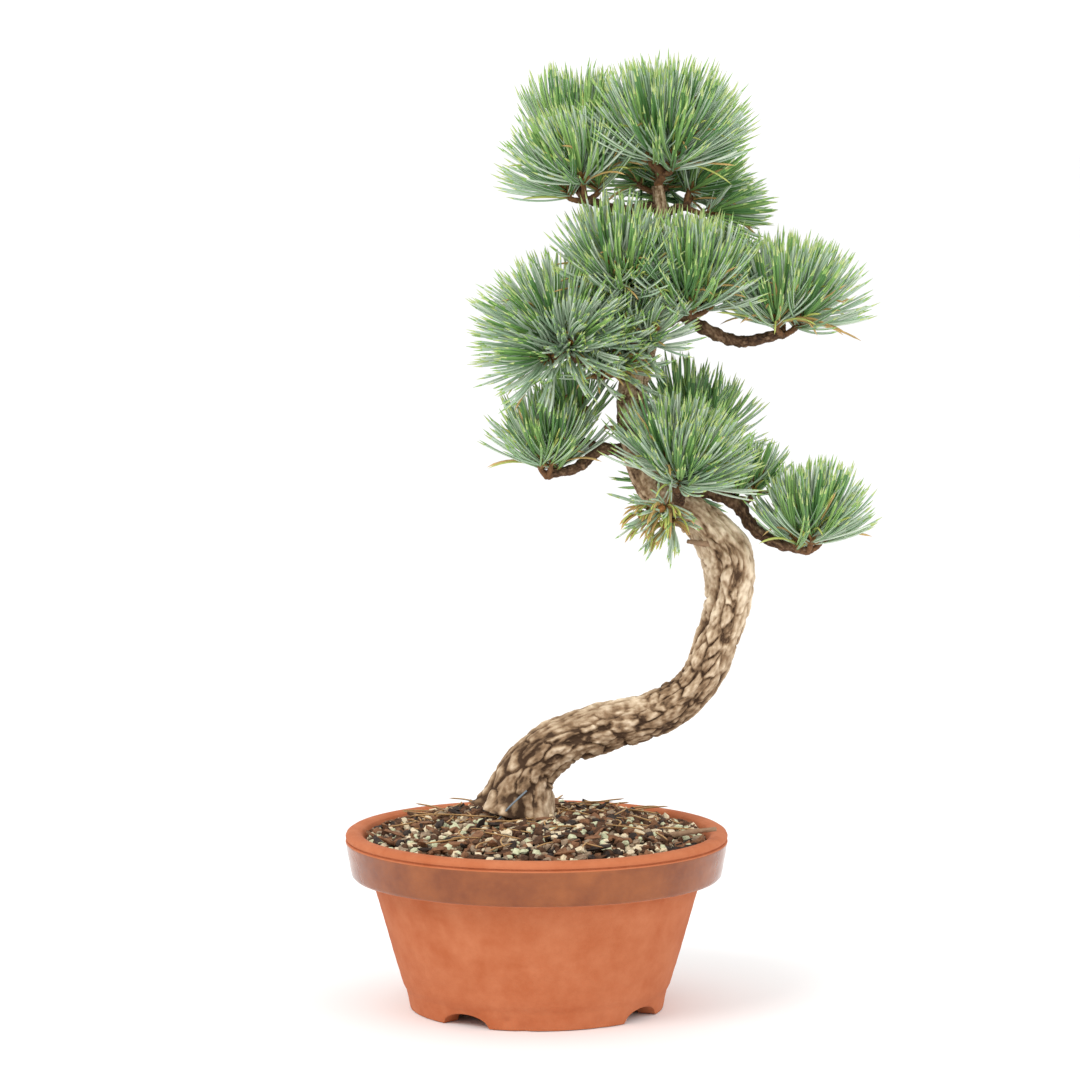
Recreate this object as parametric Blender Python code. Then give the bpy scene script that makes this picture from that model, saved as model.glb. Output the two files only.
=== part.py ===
"""Japanese white pine grown as a bonsai, in a round terracotta pot with a glazed rim band.

Metres, +Z up, seen from the front along +Y. The origin is on the ground, under the middle of
the whole tree and pot. Everything below is laid out from the pot's own axis, which stands to
the left of the origin, because the tree leans to the right.
"""

from math import acos, cos, pi, radians, sin, tau

import bmesh
import bpy
import numpy as np
from mathutils import Vector

# The pot's axis, seen from the origin
POT_AXIS = (-0.0357, 0.0, 0.0)

# Clearance between neighbouring solids
CLEARANCE = 0.0003
UPRIGHT = (0.0, 0.0, 1.0)

# Pot
POT_HEIGHT = 0.089
RIM_RADIUS = 0.0955
RIM_WIDEST_AT = 0.0853
LIP_ROUND_RADIUS = 0.0945
LIP_ROUND_AT = 0.0877
LIP_CREST_RADIUS = 0.0915
BAND_BOTTOM_RADIUS = 0.0926
BAND_BOTTOM_AT = 0.0664
BODY_TOP_RADIUS = 0.0825
BODY_FOOT_RADIUS = 0.0670
BODY_FOOT_AT = 0.012
FOOT_STEP_RADIUS = 0.0653
FOOT_STEP_AT = 0.009
FOOT_RADIUS = 0.0635
FOOT_RING_INNER_RADIUS = 0.0540
FOOT_RING_DRAFT = 0.0020
FOOT_RECESS = 0.0070
FLOOR_TOP = 0.0140
DRAIN_HOLE_RADIUS = 0.012
# Radius and height of the inside wall's corners, from the lip down to the floor
INSIDE_WALL = (
    (0.0865, 0.0868),
    (0.0845, 0.0740),
    (0.0755, 0.0610),
    (0.0590, 0.0200),
    (0.0530, FLOOR_TOP),
)
NOTCH_WIDTH = 0.027
NOTCH_HEIGHT = 0.006
NOTCH_ANGLES = (-124.0, -34.5, 56.0, 145.5)
NOTCH_BAR_LENGTH = 0.030
NOTCH_BAR_SIDES = 48
POT_SEGMENTS = 32

# Soil: its height at the wall, and its mound, whose slope is given as shares of the wall's
# radius and of the rise
SOIL_AT_WALL = 0.084
SOIL_TOP = 0.096
SOIL_FLAT_RADIUS = 0.034
MOUND_SLOPE = ((0.80, 0.45), (0.57, 0.86))

# Trunk: the centre line's place and the trunk's radius, from the ground up to the tip
TRUNK_STATIONS = (
    (-0.0104, 0.0000, 0.0963, 0.0185),
    (-0.0040, 0.0010, 0.1190, 0.0142),
    (0.0116, 0.0020, 0.1327, 0.0127),
    (0.0377, 0.0040, 0.1405, 0.0120),
    (0.0627, 0.0050, 0.1485, 0.0112),
    (0.0806, 0.0040, 0.1637, 0.0107),
    (0.0895, 0.0030, 0.1830, 0.0112),
    (0.0952, 0.0010, 0.2043, 0.0116),
    (0.0945, -0.0010, 0.2260, 0.0134),
    (0.0805, -0.0010, 0.2450, 0.0098),
    (0.0590, 0.0000, 0.2590, 0.0084),
    (0.0493, 0.0020, 0.2816, 0.0079),
    (0.0473, 0.0020, 0.3065, 0.0072),
    (0.0531, 0.0010, 0.3313, 0.0063),
    (0.0624, 0.0000, 0.3586, 0.0052),
    (0.0623, 0.0000, 0.3857, 0.0042),
    (0.0596, 0.0000, 0.4100, 0.0030),
)
TRUNK_SIDES = 12
FLARE_HEIGHT = 0.020
FLARE_SPREAD = 0.30
ROOT_RIDGES = 5
ROOT_RIDGE_DEPTH = 0.10

# Boughs: the foliage mass that each one carries, and the centre line from where it leaves
# the trunk, or the bough below it, with its radius there and at its tip
BOUGHS = {
    "bough_left": (
        "foliage_left",
        ((0.0500, 0.0010, 0.3150), (0.0330, -0.0080, 0.3215)),
        (0.0042, 0.0030),
    ),
    "bough_left_back": (
        "foliage_left_back",
        ((0.0490, 0.0020, 0.3200), (0.0400, 0.0140, 0.3300)),
        (0.0034, 0.0024),
    ),
    "bough_left_low": (
        "foliage_left_low",
        ((0.0473, 0.0010, 0.2777), (0.0314, -0.0020, 0.2795), (0.0200, -0.0040, 0.2710)),
        (0.0036, 0.0022),
    ),
    "bough_left_low_fork": (
        "foliage_left_inner",
        ((0.0314, -0.0020, 0.2795), (0.0265, 0.0010, 0.2825)),
        (0.0024, 0.0018),
    ),
    "bough_right": (
        "foliage_right",
        (
            (0.0615, 0.0000, 0.3540),
            (0.0806, -0.0040, 0.3410),
            (0.0995, -0.0030, 0.3335),
        ),
        (0.0036, 0.0026),
    ),
    "bough_right_front": (
        "foliage_right_front",
        ((0.0620, -0.0010, 0.3640), (0.0690, -0.0090, 0.3570)),
        (0.0030, 0.0022),
    ),
    "bough_right_back": (
        "foliage_right_back",
        ((0.0600, 0.0000, 0.3400), (0.0700, 0.0110, 0.3450)),
        (0.0030, 0.0022),
    ),
    "bough_right_low": (
        "foliage_right_low",
        (
            (0.0640, 0.0010, 0.2560),
            (0.0780, 0.0080, 0.2590),
            (0.0990, 0.0060, 0.2520),
            (0.1095, 0.0010, 0.2385),
            (0.1215, -0.0020, 0.2322),
        ),
        (0.0044, 0.0024),
    ),
    "bough_front_low": (
        "foliage_front_low",
        ((0.0700, -0.0010, 0.2520), (0.0705, -0.0130, 0.2570)),
        (0.0032, 0.0024),
    ),
    "bough_back_low": (
        "foliage_back_low",
        ((0.0500, 0.0020, 0.2790), (0.0640, 0.0120, 0.2800)),
        (0.0034, 0.0024),
    ),
    "bough_top_left": (
        "foliage_upper_left",
        ((0.0600, 0.0000, 0.4000), (0.0410, -0.0040, 0.3985)),
        (0.0028, 0.0020),
    ),
    "bough_top_right": (
        "foliage_upper_right",
        ((0.0605, 0.0000, 0.3960), (0.0690, 0.0050, 0.3985)),
        (0.0026, 0.0020),
    ),
}
BOUGH_SIDES = 8

# Foliage: where the shoots of a mass start, the way they point, the reach from there to the
# needle tips, and the half angle in degrees of the fan that the needles make
FOLIAGE = {
    "foliage_top": ((0.0630, -0.0060, 0.4200), (0.08, -0.10, 1.0), 0.0530, 77),
    "foliage_top_left": ((0.0190, 0.0120, 0.4210), (-0.02, 0.15, 1.0), 0.047, 36),
    "foliage_top_back": ((0.0600, 0.0190, 0.4080), (0.0, 1.0, 0.75), 0.042, 80),
    "foliage_upper_left": ((0.0225, -0.0080, 0.4060), (-0.42, -0.10, 1.0), 0.044, 76),
    "foliage_upper_right": ((0.0770, 0.0080, 0.4010), (1.0, 0.30, 0.65), 0.034, 80),
    "foliage_middle_front": ((0.0400, -0.0130, 0.3580), (0.0, -0.35, 1.0), 0.046, 60),
    "foliage_middle_inner": ((0.0450, -0.0120, 0.3330), (0.10, -0.80, 0.8), 0.038, 76),
    "foliage_middle_back": ((0.0540, 0.0140, 0.3560), (-0.15, 1.0, 0.70), 0.045, 80),
    "foliage_right_front": ((0.0755, -0.0130, 0.3500), (0.06, -0.25, 1.0), 0.049, 64),
    "foliage_right_back": ((0.0800, 0.0170, 0.3550), (0.35, 1.0, 0.85), 0.042, 74),
    "foliage_right": ((0.1225, 0.0000, 0.3400), (0.10, -0.05, 1.0), 0.047, 84),
    "foliage_left": ((0.0125, -0.0160, 0.3310), (-0.22, -0.35, 0.75), 0.045, 112),
    "foliage_left_under": ((0.0350, -0.0110, 0.3180), (0.30, -0.60, 0.35), 0.033, 66),
    "foliage_left_back": ((0.0290, 0.0200, 0.3370), (-0.50, 1.0, 0.45), 0.044, 84),
    "foliage_left_low": ((0.0050, -0.0060, 0.2700), (-0.06, -0.10, 1.0), 0.039, 68),
    "foliage_left_inner": ((0.0190, 0.0060, 0.2860), (-0.10, 0.45, 1.0), 0.033, 56),
    "foliage_back_low": ((0.0770, 0.0190, 0.2790), (0.05, 0.55, 1.0), 0.043, 62),
    "foliage_back_lowest": ((0.0700, 0.0200, 0.2600), (0.20, 1.0, 0.15), 0.038, 76),
    "foliage_front_low": ((0.0690, -0.0200, 0.2640), (0.12, -0.35, 1.0), 0.044, 80),
    "foliage_front_lowest": ((0.0640, -0.0180, 0.2490), (-0.35, -0.80, -0.10), 0.029, 66),
    "foliage_middle_low": ((0.1030, 0.0080, 0.2550), (0.25, 0.20, 1.0), 0.027, 60),
    "foliage_right_low": ((0.1345, -0.0040, 0.2325), (0.08, -0.05, 1.0), 0.041, 70),
}
FOLIAGE_SEGMENTS = 14
FOLIAGE_RINGS = 9
CENTRE_ALONG_REACH = 0.42
HEEL_OF_REACH = 0.26
EDGE_SOFTNESS = radians(16.0)
UNEVENNESS = 0.07
BOUGH_INTO_MASS = 0.16

# Colours, roughness
TERRACOTTA = ((0.52, 0.19, 0.08), 0.80)
EARTH = ((0.10, 0.065, 0.04), 0.95)
BARK = ((0.32, 0.25, 0.18), 0.90)
YOUNG_BARK = ((0.20, 0.15, 0.11), 0.88)
NEEDLES = ((0.12, 0.26, 0.12), 0.60)


def clear_scene():
    """Removes every object that the file starts with."""
    for old in list(bpy.data.objects):
        bpy.data.objects.remove(old, do_unlink=True)


def plain_material(name, look):
    """One Principled material from a base colour and a roughness."""
    colour, roughness = look
    material = bpy.data.materials.new(name)
    material.use_nodes = True
    shader = material.node_tree.nodes["Principled BSDF"]
    shader.inputs["Base Color"].default_value = (*colour, 1.0)
    shader.inputs["Roughness"].default_value = roughness
    shader.inputs["Metallic"].default_value = 0.0
    return material


def add_object(name, mesh, look, parent):
    """One named object with its own material, laid out from the pot's axis."""
    mesh.materials.append(plain_material(name + "_finish", look))
    mesh.shade_smooth()
    mesh.set_sharp_from_angle(angle=radians(40.0))
    piece = bpy.data.objects.new(name, mesh)
    piece.parent = parent
    bpy.context.scene.collection.objects.link(piece)
    return piece


def add_cutter(name, mesh, parent):
    """A guide that only cuts other pieces."""
    cutter = bpy.data.objects.new(name, mesh)
    cutter.parent = parent
    cutter.hide_render = True
    cutter.display_type = "WIRE"
    bpy.context.scene.collection.objects.link(cutter)
    return cutter


def cut(piece, cutter):
    """Takes the cutter's volume out of a piece."""
    step = piece.modifiers.new("cut_by_" + cutter.name, "BOOLEAN")
    step.operation = "DIFFERENCE"
    step.object = cutter
    step.solver = "EXACT"


def closed_mesh(name, rings):
    """A mesh over rings of points, one after another, with a flat cap on each end."""
    shape = bmesh.new()
    loops = [[shape.verts.new(point) for point in ring] for ring in rings]
    sides = len(rings[0])
    for lower, upper in zip(loops, loops[1:]):
        for i in range(sides):
            j = (i + 1) % sides
            shape.faces.new((lower[i], lower[j], upper[j], upper[i]))
    shape.faces.new(loops[0][::-1])
    shape.faces.new(loops[-1])
    bmesh.ops.recalc_face_normals(shape, faces=shape.faces)
    mesh = bpy.data.meshes.new(name)
    shape.to_mesh(mesh)
    shape.free()
    return mesh


def turned_mesh(name, profile, segments):
    """A closed profile of (radius, height) corners, spun once round the pot's axis."""
    shape = bmesh.new()
    rings = []
    for k in range(segments):
        angle = tau * k / segments
        rings.append([shape.verts.new((r * cos(angle), r * sin(angle), z)) for r, z in profile])
    for k in range(segments):
        here = rings[k]
        there = rings[(k + 1) % segments]
        for i in range(len(profile)):
            j = (i + 1) % len(profile)
            shape.faces.new((here[i], there[i], there[j], here[j]))
    bmesh.ops.recalc_face_normals(shape, faces=shape.faces)
    mesh = bpy.data.meshes.new(name)
    shape.to_mesh(mesh)
    shape.free()
    return mesh


def smooth_line(stations, steps):
    """A Catmull-Rom curve through the stations, each span divided into that many steps."""
    s = np.array(stations, float)
    s = np.vstack([2 * s[0] - s[1], s, 2 * s[-1] - s[-2]])
    points = []
    for a, b, c, d in zip(s, s[1:], s[2:], s[3:]):
        for t in np.arange(steps) / steps:
            points.append(
                0.5
                * (
                    2 * b
                    + (c - a) * t
                    + (2 * a - 5 * b + 4 * c - d) * t**2
                    + (3 * b - a - 3 * c + d) * t**3
                )
            )
    points.append(s[-2])
    return np.array(points)


def cross_frames(line, first_direction):
    """For each point of a line its direction and two axes across it, turned as little as possible."""
    directions = np.gradient(line, axis=0)
    directions[0] = first_direction
    directions /= np.linalg.norm(directions, axis=1)[:, None]
    across = np.cross(directions[0], (0.0, 1.0, 0.0))
    frames = []
    for direction in directions:
        across = across - direction * (across @ direction)
        across /= np.linalg.norm(across)
        frames.append((across, np.cross(direction, across)))
    return frames


def limb_rings(line, radii, sides, first_direction, section=None):
    """Rings of points round a line. section gives a factor on the radius at an angle and ring."""
    rings = []
    for k, (a, b) in enumerate(cross_frames(line, first_direction)):
        ring = []
        for i in range(sides):
            angle = tau * i / sides
            r = radii[k] * (section(angle, line[k]) if section else 1.0)
            ring.append(tuple(line[k] + r * (cos(angle) * a + sin(angle) * b)))
        rings.append(ring)
    return rings


def root_flare(angle, point):
    """The trunk widens in soft ridges over the last stretch above the ground."""
    height = point[2] - TRUNK_STATIONS[0][2]
    share = max(0.0, 1.0 - height / FLARE_HEIGHT) ** 2
    return 1.0 + share * (FLARE_SPREAD + ROOT_RIDGE_DEPTH * cos(ROOT_RIDGES * angle))


def grown(line, radii, grow):
    """A limb's line and radii enlarged all round and past the tip, for use as a cutter."""
    line = line.copy()
    last_step = line[-1] - line[-2]
    line[-1] += last_step / np.linalg.norm(last_step) * grow
    return line, radii + grow


def trunk_mesh(name, grow=0.0):
    """The whole trunk from its flat cut to its tip."""
    course = smooth_line(TRUNK_STATIONS, 2)
    line, radii = grown(course[:, :3], course[:, 3], grow)
    return closed_mesh(name, limb_rings(line, radii, TRUNK_SIDES, UPRIGHT, root_flare))


def bough_mesh(name, carried, stations, radii, grow=0.0):
    """One tapering bough, from inside what it leaves to just inside the mass that it carries."""
    base, _, reach, _ = FOLIAGE[carried]
    base = Vector(base)
    entry = base + (Vector(stations[-1]) - base).normalized() * reach * BOUGH_INTO_MASS
    course = smooth_line([*stations, tuple(entry)], 2)
    line, taper = grown(course, np.linspace(*radii, len(course)), grow)
    return closed_mesh(name, limb_rings(line, taper, BOUGH_SIDES, line[1] - line[0]))


def mass_centre(base, direction, reach):
    """The point inside a mass that its surface is measured from."""
    return Vector(base) + Vector(direction).normalized() * reach * CENTRE_ALONG_REACH


def fan_reach(point, base, axis, reach, half_angle):
    """How far the needles reach from the shoots' base towards a point."""
    away = point - base
    if away.length == 0.0:
        return reach
    angle = acos(max(-1.0, min(1.0, away.normalized().dot(axis))))
    share = (half_angle + EDGE_SOFTNESS - angle) / (2 * EDGE_SOFTNESS)
    share = max(0.0, min(1.0, share))
    share = share * share * (3 - 2 * share)
    return reach * (HEEL_OF_REACH + (1 - HEEL_OF_REACH) * share)


def mass_surface(centre, way, base, axis, reach, half_angle):
    """Distance from a mass's centre to the edge of its fan of needles, found by halving."""
    near, far = 0.0, 2 * reach
    for _ in range(24):
        middle = (near + far) / 2
        point = centre + way * middle
        if (point - base).length < fan_reach(point, base, axis, reach, half_angle):
            near = middle
        else:
            far = middle
    return near


def uneven(way, waves):
    """A factor near 1 that varies slowly over directions, from a few seeded waves."""
    total = sum(sin(Vector(wave[:3]).dot(way) + wave[3]) for wave in waves)
    return 1.0 + UNEVENNESS * total / len(waves) ** 0.5


def neighbour_planes(name):
    """Planes half way to each other mass, shared by size, that this mass stays behind."""
    base, direction, reach, _ = FOLIAGE[name]
    centre = mass_centre(base, direction, reach)
    planes = []
    for other, (its_base, its_direction, its_reach, _) in FOLIAGE.items():
        if other == name:
            continue
        across = mass_centre(its_base, its_direction, its_reach) - centre
        share = across.length * reach / (reach + its_reach) - CLEARANCE / 2
        planes.append((across.normalized(), share))
    return planes


def foliage_mesh(name, seed):
    """One mass: a fan of needles as a closed uneven solid, held back at its neighbours' planes."""
    base, direction, reach, half_angle = FOLIAGE[name]
    base = Vector(base)
    axis = Vector(direction).normalized()
    centre = mass_centre(base, axis, reach)
    waves = np.random.default_rng(seed).uniform(-4.0, 4.0, (5, 4))
    planes = neighbour_planes(name)
    shape = bmesh.new()
    bmesh.ops.create_uvsphere(
        shape, u_segments=FOLIAGE_SEGMENTS, v_segments=FOLIAGE_RINGS, radius=1.0
    )
    turn = Vector(UPRIGHT).rotation_difference(axis)
    for vert in shape.verts:
        way = (turn @ vert.co).normalized()
        distance = mass_surface(centre, way, base, axis, reach, radians(half_angle))
        distance *= uneven(way, waves)
        for normal, limit in planes:
            closing = way.dot(normal)
            if closing > 1e-6:
                distance = min(distance, limit / closing)
        vert.co = centre + way * distance
    bmesh.ops.recalc_face_normals(shape, faces=shape.faces)
    mesh = bpy.data.meshes.new(name)
    shape.to_mesh(mesh)
    shape.free()
    return mesh


def pot_profile():
    """Corners of the pot's floor, foot ring, outside, lip and inside, back to the drain hole."""
    return [
        (DRAIN_HOLE_RADIUS, FOOT_RECESS),
        (FOOT_RING_INNER_RADIUS - FOOT_RING_DRAFT, FOOT_RECESS),
        (FOOT_RING_INNER_RADIUS, 0.0),
        (FOOT_RADIUS, 0.0),
        (FOOT_STEP_RADIUS, FOOT_STEP_AT),
        (BODY_FOOT_RADIUS, BODY_FOOT_AT),
        (BODY_TOP_RADIUS, BAND_BOTTOM_AT),
        (BAND_BOTTOM_RADIUS, BAND_BOTTOM_AT),
        (RIM_RADIUS, RIM_WIDEST_AT),
        (LIP_ROUND_RADIUS, LIP_ROUND_AT),
        (LIP_CREST_RADIUS, POT_HEIGHT),
        *INSIDE_WALL,
        (DRAIN_HOLE_RADIUS, FLOOR_TOP),
    ]


def notch_cutter(angle_degrees, parent):
    """A round bar lying across the foot ring, whose top makes one arched drain notch."""
    radius = ((NOTCH_WIDTH / 2) ** 2 + NOTCH_HEIGHT**2) / (2 * NOTCH_HEIGHT)
    shape = bmesh.new()
    bmesh.ops.create_cone(
        shape,
        cap_ends=True,
        segments=NOTCH_BAR_SIDES,
        radius1=radius,
        radius2=radius,
        depth=NOTCH_BAR_LENGTH,
    )
    mesh = bpy.data.meshes.new("notch_bar")
    shape.to_mesh(mesh)
    shape.free()
    cutter = add_cutter("notch_bar", mesh, parent)
    angle = radians(angle_degrees)
    middle = (FOOT_RADIUS + FOOT_RING_INNER_RADIUS) / 2
    cutter.rotation_euler = (0.0, pi / 2, angle)
    cutter.location = (middle * cos(angle), middle * sin(angle), NOTCH_HEIGHT - radius)
    return cutter


def wall_radius(height):
    """The inside wall's radius at a height between its two uppermost corners."""
    (top_radius, top), (low_radius, low) = INSIDE_WALL[:2]
    return low_radius + (top_radius - low_radius) * (height - low) / (top - low)


def build_pot(parent):
    """The turned pot with four arched notches in its foot ring."""
    pot = add_object("pot", turned_mesh("pot", pot_profile(), POT_SEGMENTS), TERRACOTTA, parent)
    for angle in NOTCH_ANGLES:
        cut(pot, notch_cutter(angle, parent))


def build_soil(parent):
    """The soil fills the pot and rises in a low mound with a flat seat for the trunk."""
    rise = SOIL_TOP - SOIL_AT_WALL
    edge = wall_radius(SOIL_AT_WALL)
    sunk = [(r - CLEARANCE, z + CLEARANCE) for r, z in INSIDE_WALL[:0:-1]]
    slope = [(edge * out, SOIL_AT_WALL + rise * up) for out, up in MOUND_SLOPE]
    profile = [
        *sunk,
        (edge - CLEARANCE, SOIL_AT_WALL),
        *slope,
        (SOIL_FLAT_RADIUS, SOIL_TOP),
    ]
    rings = []
    for r, z in profile:
        angles = [tau * k / POT_SEGMENTS for k in range(POT_SEGMENTS)]
        rings.append([(r * cos(a), r * sin(a), z) for a in angles])
    add_object("soil", closed_mesh("soil", rings), EARTH, parent)


def build_limbs(parent):
    """The trunk and its boughs, each bough seated against what it grows from."""
    add_object("trunk", trunk_mesh("trunk"), BARK, parent)
    trunk_cutter = add_cutter("trunk_space", trunk_mesh("trunk_space", CLEARANCE), parent)
    cutters = {"trunk": trunk_cutter}
    for name, (carried, stations, radii) in BOUGHS.items():
        bough = add_object(
            name, bough_mesh(name, carried, stations, radii), YOUNG_BARK, parent
        )
        cut(bough, trunk_cutter)
        space = name + "_space"
        mesh = bough_mesh(space, carried, stations, radii, CLEARANCE)
        cutters[name] = add_cutter(space, mesh, parent)
    cut(bpy.data.objects["bough_left_low_fork"], cutters["bough_left_low"])
    return cutters


def near(name, mesh):
    """True where a limb's mesh comes into a mass's reach."""
    base, direction, reach, _ = FOLIAGE[name]
    centre = mass_centre(base, direction, reach)
    return any((vert.co - centre).length < reach for vert in mesh.vertices)


def build_foliage(parent, cutters):
    """Every mass of foliage, cut round the trunk and round each bough that runs into it."""
    for seed, name in enumerate(FOLIAGE):
        mass = add_object(name, foliage_mesh(name, seed), NEEDLES, parent)
        for cutter in cutters.values():
            if near(name, cutter.data):
                cut(mass, cutter)


def build():
    """The whole tree in its pot."""
    clear_scene()
    pot_axis = bpy.data.objects.new("pot_axis", None)
    pot_axis.location = POT_AXIS
    bpy.context.scene.collection.objects.link(pot_axis)
    build_pot(pot_axis)
    build_soil(pot_axis)
    cutters = build_limbs(pot_axis)
    build_foliage(pot_axis, cutters)


build()
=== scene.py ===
from math import cos, pi, radians, sin

import bpy
import numpy as np
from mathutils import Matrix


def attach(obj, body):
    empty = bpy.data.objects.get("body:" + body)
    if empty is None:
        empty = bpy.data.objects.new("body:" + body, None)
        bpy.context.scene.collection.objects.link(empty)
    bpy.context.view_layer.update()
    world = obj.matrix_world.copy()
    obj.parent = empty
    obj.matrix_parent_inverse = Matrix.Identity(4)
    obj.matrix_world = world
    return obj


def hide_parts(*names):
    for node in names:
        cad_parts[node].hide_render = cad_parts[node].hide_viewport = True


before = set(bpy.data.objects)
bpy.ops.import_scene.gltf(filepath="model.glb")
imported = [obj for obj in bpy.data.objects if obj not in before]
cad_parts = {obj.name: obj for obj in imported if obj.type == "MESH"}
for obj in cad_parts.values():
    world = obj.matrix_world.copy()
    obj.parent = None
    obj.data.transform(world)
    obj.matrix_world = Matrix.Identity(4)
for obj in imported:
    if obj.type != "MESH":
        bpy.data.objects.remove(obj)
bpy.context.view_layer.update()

# Driving places and sizes, in metres. x is measured from the pot's axis until a piece is put down.
AXIS_X = -0.0357
SOIL_Z = 0.0963

# The camera's place in the shared frame, how many degrees it looks down, and its lens and sensor in
# millimetres.
CAMERA_AT = (-0.03405, -2.1753, 0.45605)
CAMERA_DOWN = 5.817
CAMERA_LENS = 146.66
SENSOR_WIDTH = 36.0

# The trunk's middle line and its radius there, from the soil to the tip.
TRUNK = (
    (-0.0104, 0.0000, 0.0963, 0.0185), (-0.0040, 0.0010, 0.1190, 0.0142),
    (0.0116, 0.0020, 0.1327, 0.0127), (0.0377, 0.0040, 0.1405, 0.0120),
    (0.0627, 0.0050, 0.1485, 0.0112), (0.0806, 0.0040, 0.1637, 0.0107),
    (0.0895, 0.0030, 0.1830, 0.0112), (0.0952, 0.0010, 0.2043, 0.0116),
    (0.0945, -0.0010, 0.2260, 0.0134), (0.0805, -0.0010, 0.2450, 0.0098),
    (0.0590, 0.0000, 0.2590, 0.0084), (0.0493, 0.0020, 0.2816, 0.0079),
    (0.0473, 0.0020, 0.3065, 0.0072), (0.0531, 0.0010, 0.3313, 0.0063),
    (0.0624, 0.0000, 0.3586, 0.0052), (0.0623, 0.0000, 0.3857, 0.0042),
    (0.0596, 0.0000, 0.4100, 0.0030),
)

# Distances along the trunk: up to the graft, where the rough bark ends, and over the root flare.
GRAFT_AT = 0.215
FLARE_HEIGHT = 0.022

# Each bough: the mass that it carries, its stations, and its radius at the start and the end.
BOUGHS = {
    "bough_left": ("left", ((0.0500, 0.0010, 0.3150), (0.0330, -0.0080, 0.3215)), 0.0042, 0.0030),
    "bough_left_back": ("left_back", ((0.0490, 0.0020, 0.3200), (0.0400, 0.0140, 0.3300)), 0.0034, 0.0024),
    "bough_left_low": (
        "left_low", ((0.0473, 0.0010, 0.2777), (0.0314, -0.0020, 0.2795), (0.0200, -0.0040, 0.2710)),
        0.0036, 0.0022),
    "bough_left_low_fork": (
        "left_inner", ((0.0314, -0.0020, 0.2795), (0.0265, 0.0010, 0.2825)), 0.0024, 0.0018),
    "bough_right": (
        "right", ((0.0615, 0.0000, 0.3540), (0.0806, -0.0040, 0.3410), (0.0995, -0.0030, 0.3335)),
        0.0036, 0.0026),
    "bough_right_front": (
        "right_front", ((0.0620, -0.0010, 0.3640), (0.0690, -0.0090, 0.3570)), 0.0030, 0.0022),
    "bough_right_back": ("right_back", ((0.0600, 0.0000, 0.3400), (0.0700, 0.0110, 0.3450)), 0.0030, 0.0022),
    "bough_right_low": (
        "right_low",
        ((0.0640, 0.0010, 0.2560), (0.0780, 0.0080, 0.2590), (0.0990, 0.0060, 0.2520),
         (0.1095, 0.0010, 0.2385), (0.1215, -0.0020, 0.2322)),
        0.0044, 0.0024),
    "bough_front_low": ("front_low", ((0.0700, -0.0010, 0.2520), (0.0705, -0.0130, 0.2570)), 0.0032, 0.0024),
    "bough_back_low": ("back_low", ((0.0500, 0.0020, 0.2790), (0.0640, 0.0120, 0.2800)), 0.0034, 0.0024),
    "bough_top_left": ("upper_left", ((0.0600, 0.0000, 0.4000), (0.0410, -0.0040, 0.3985)), 0.0028, 0.0020),
    "bough_top_right": ("upper_right", ((0.0605, 0.0000, 0.3960), (0.0690, 0.0050, 0.3985)), 0.0026, 0.0020),
}

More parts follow.
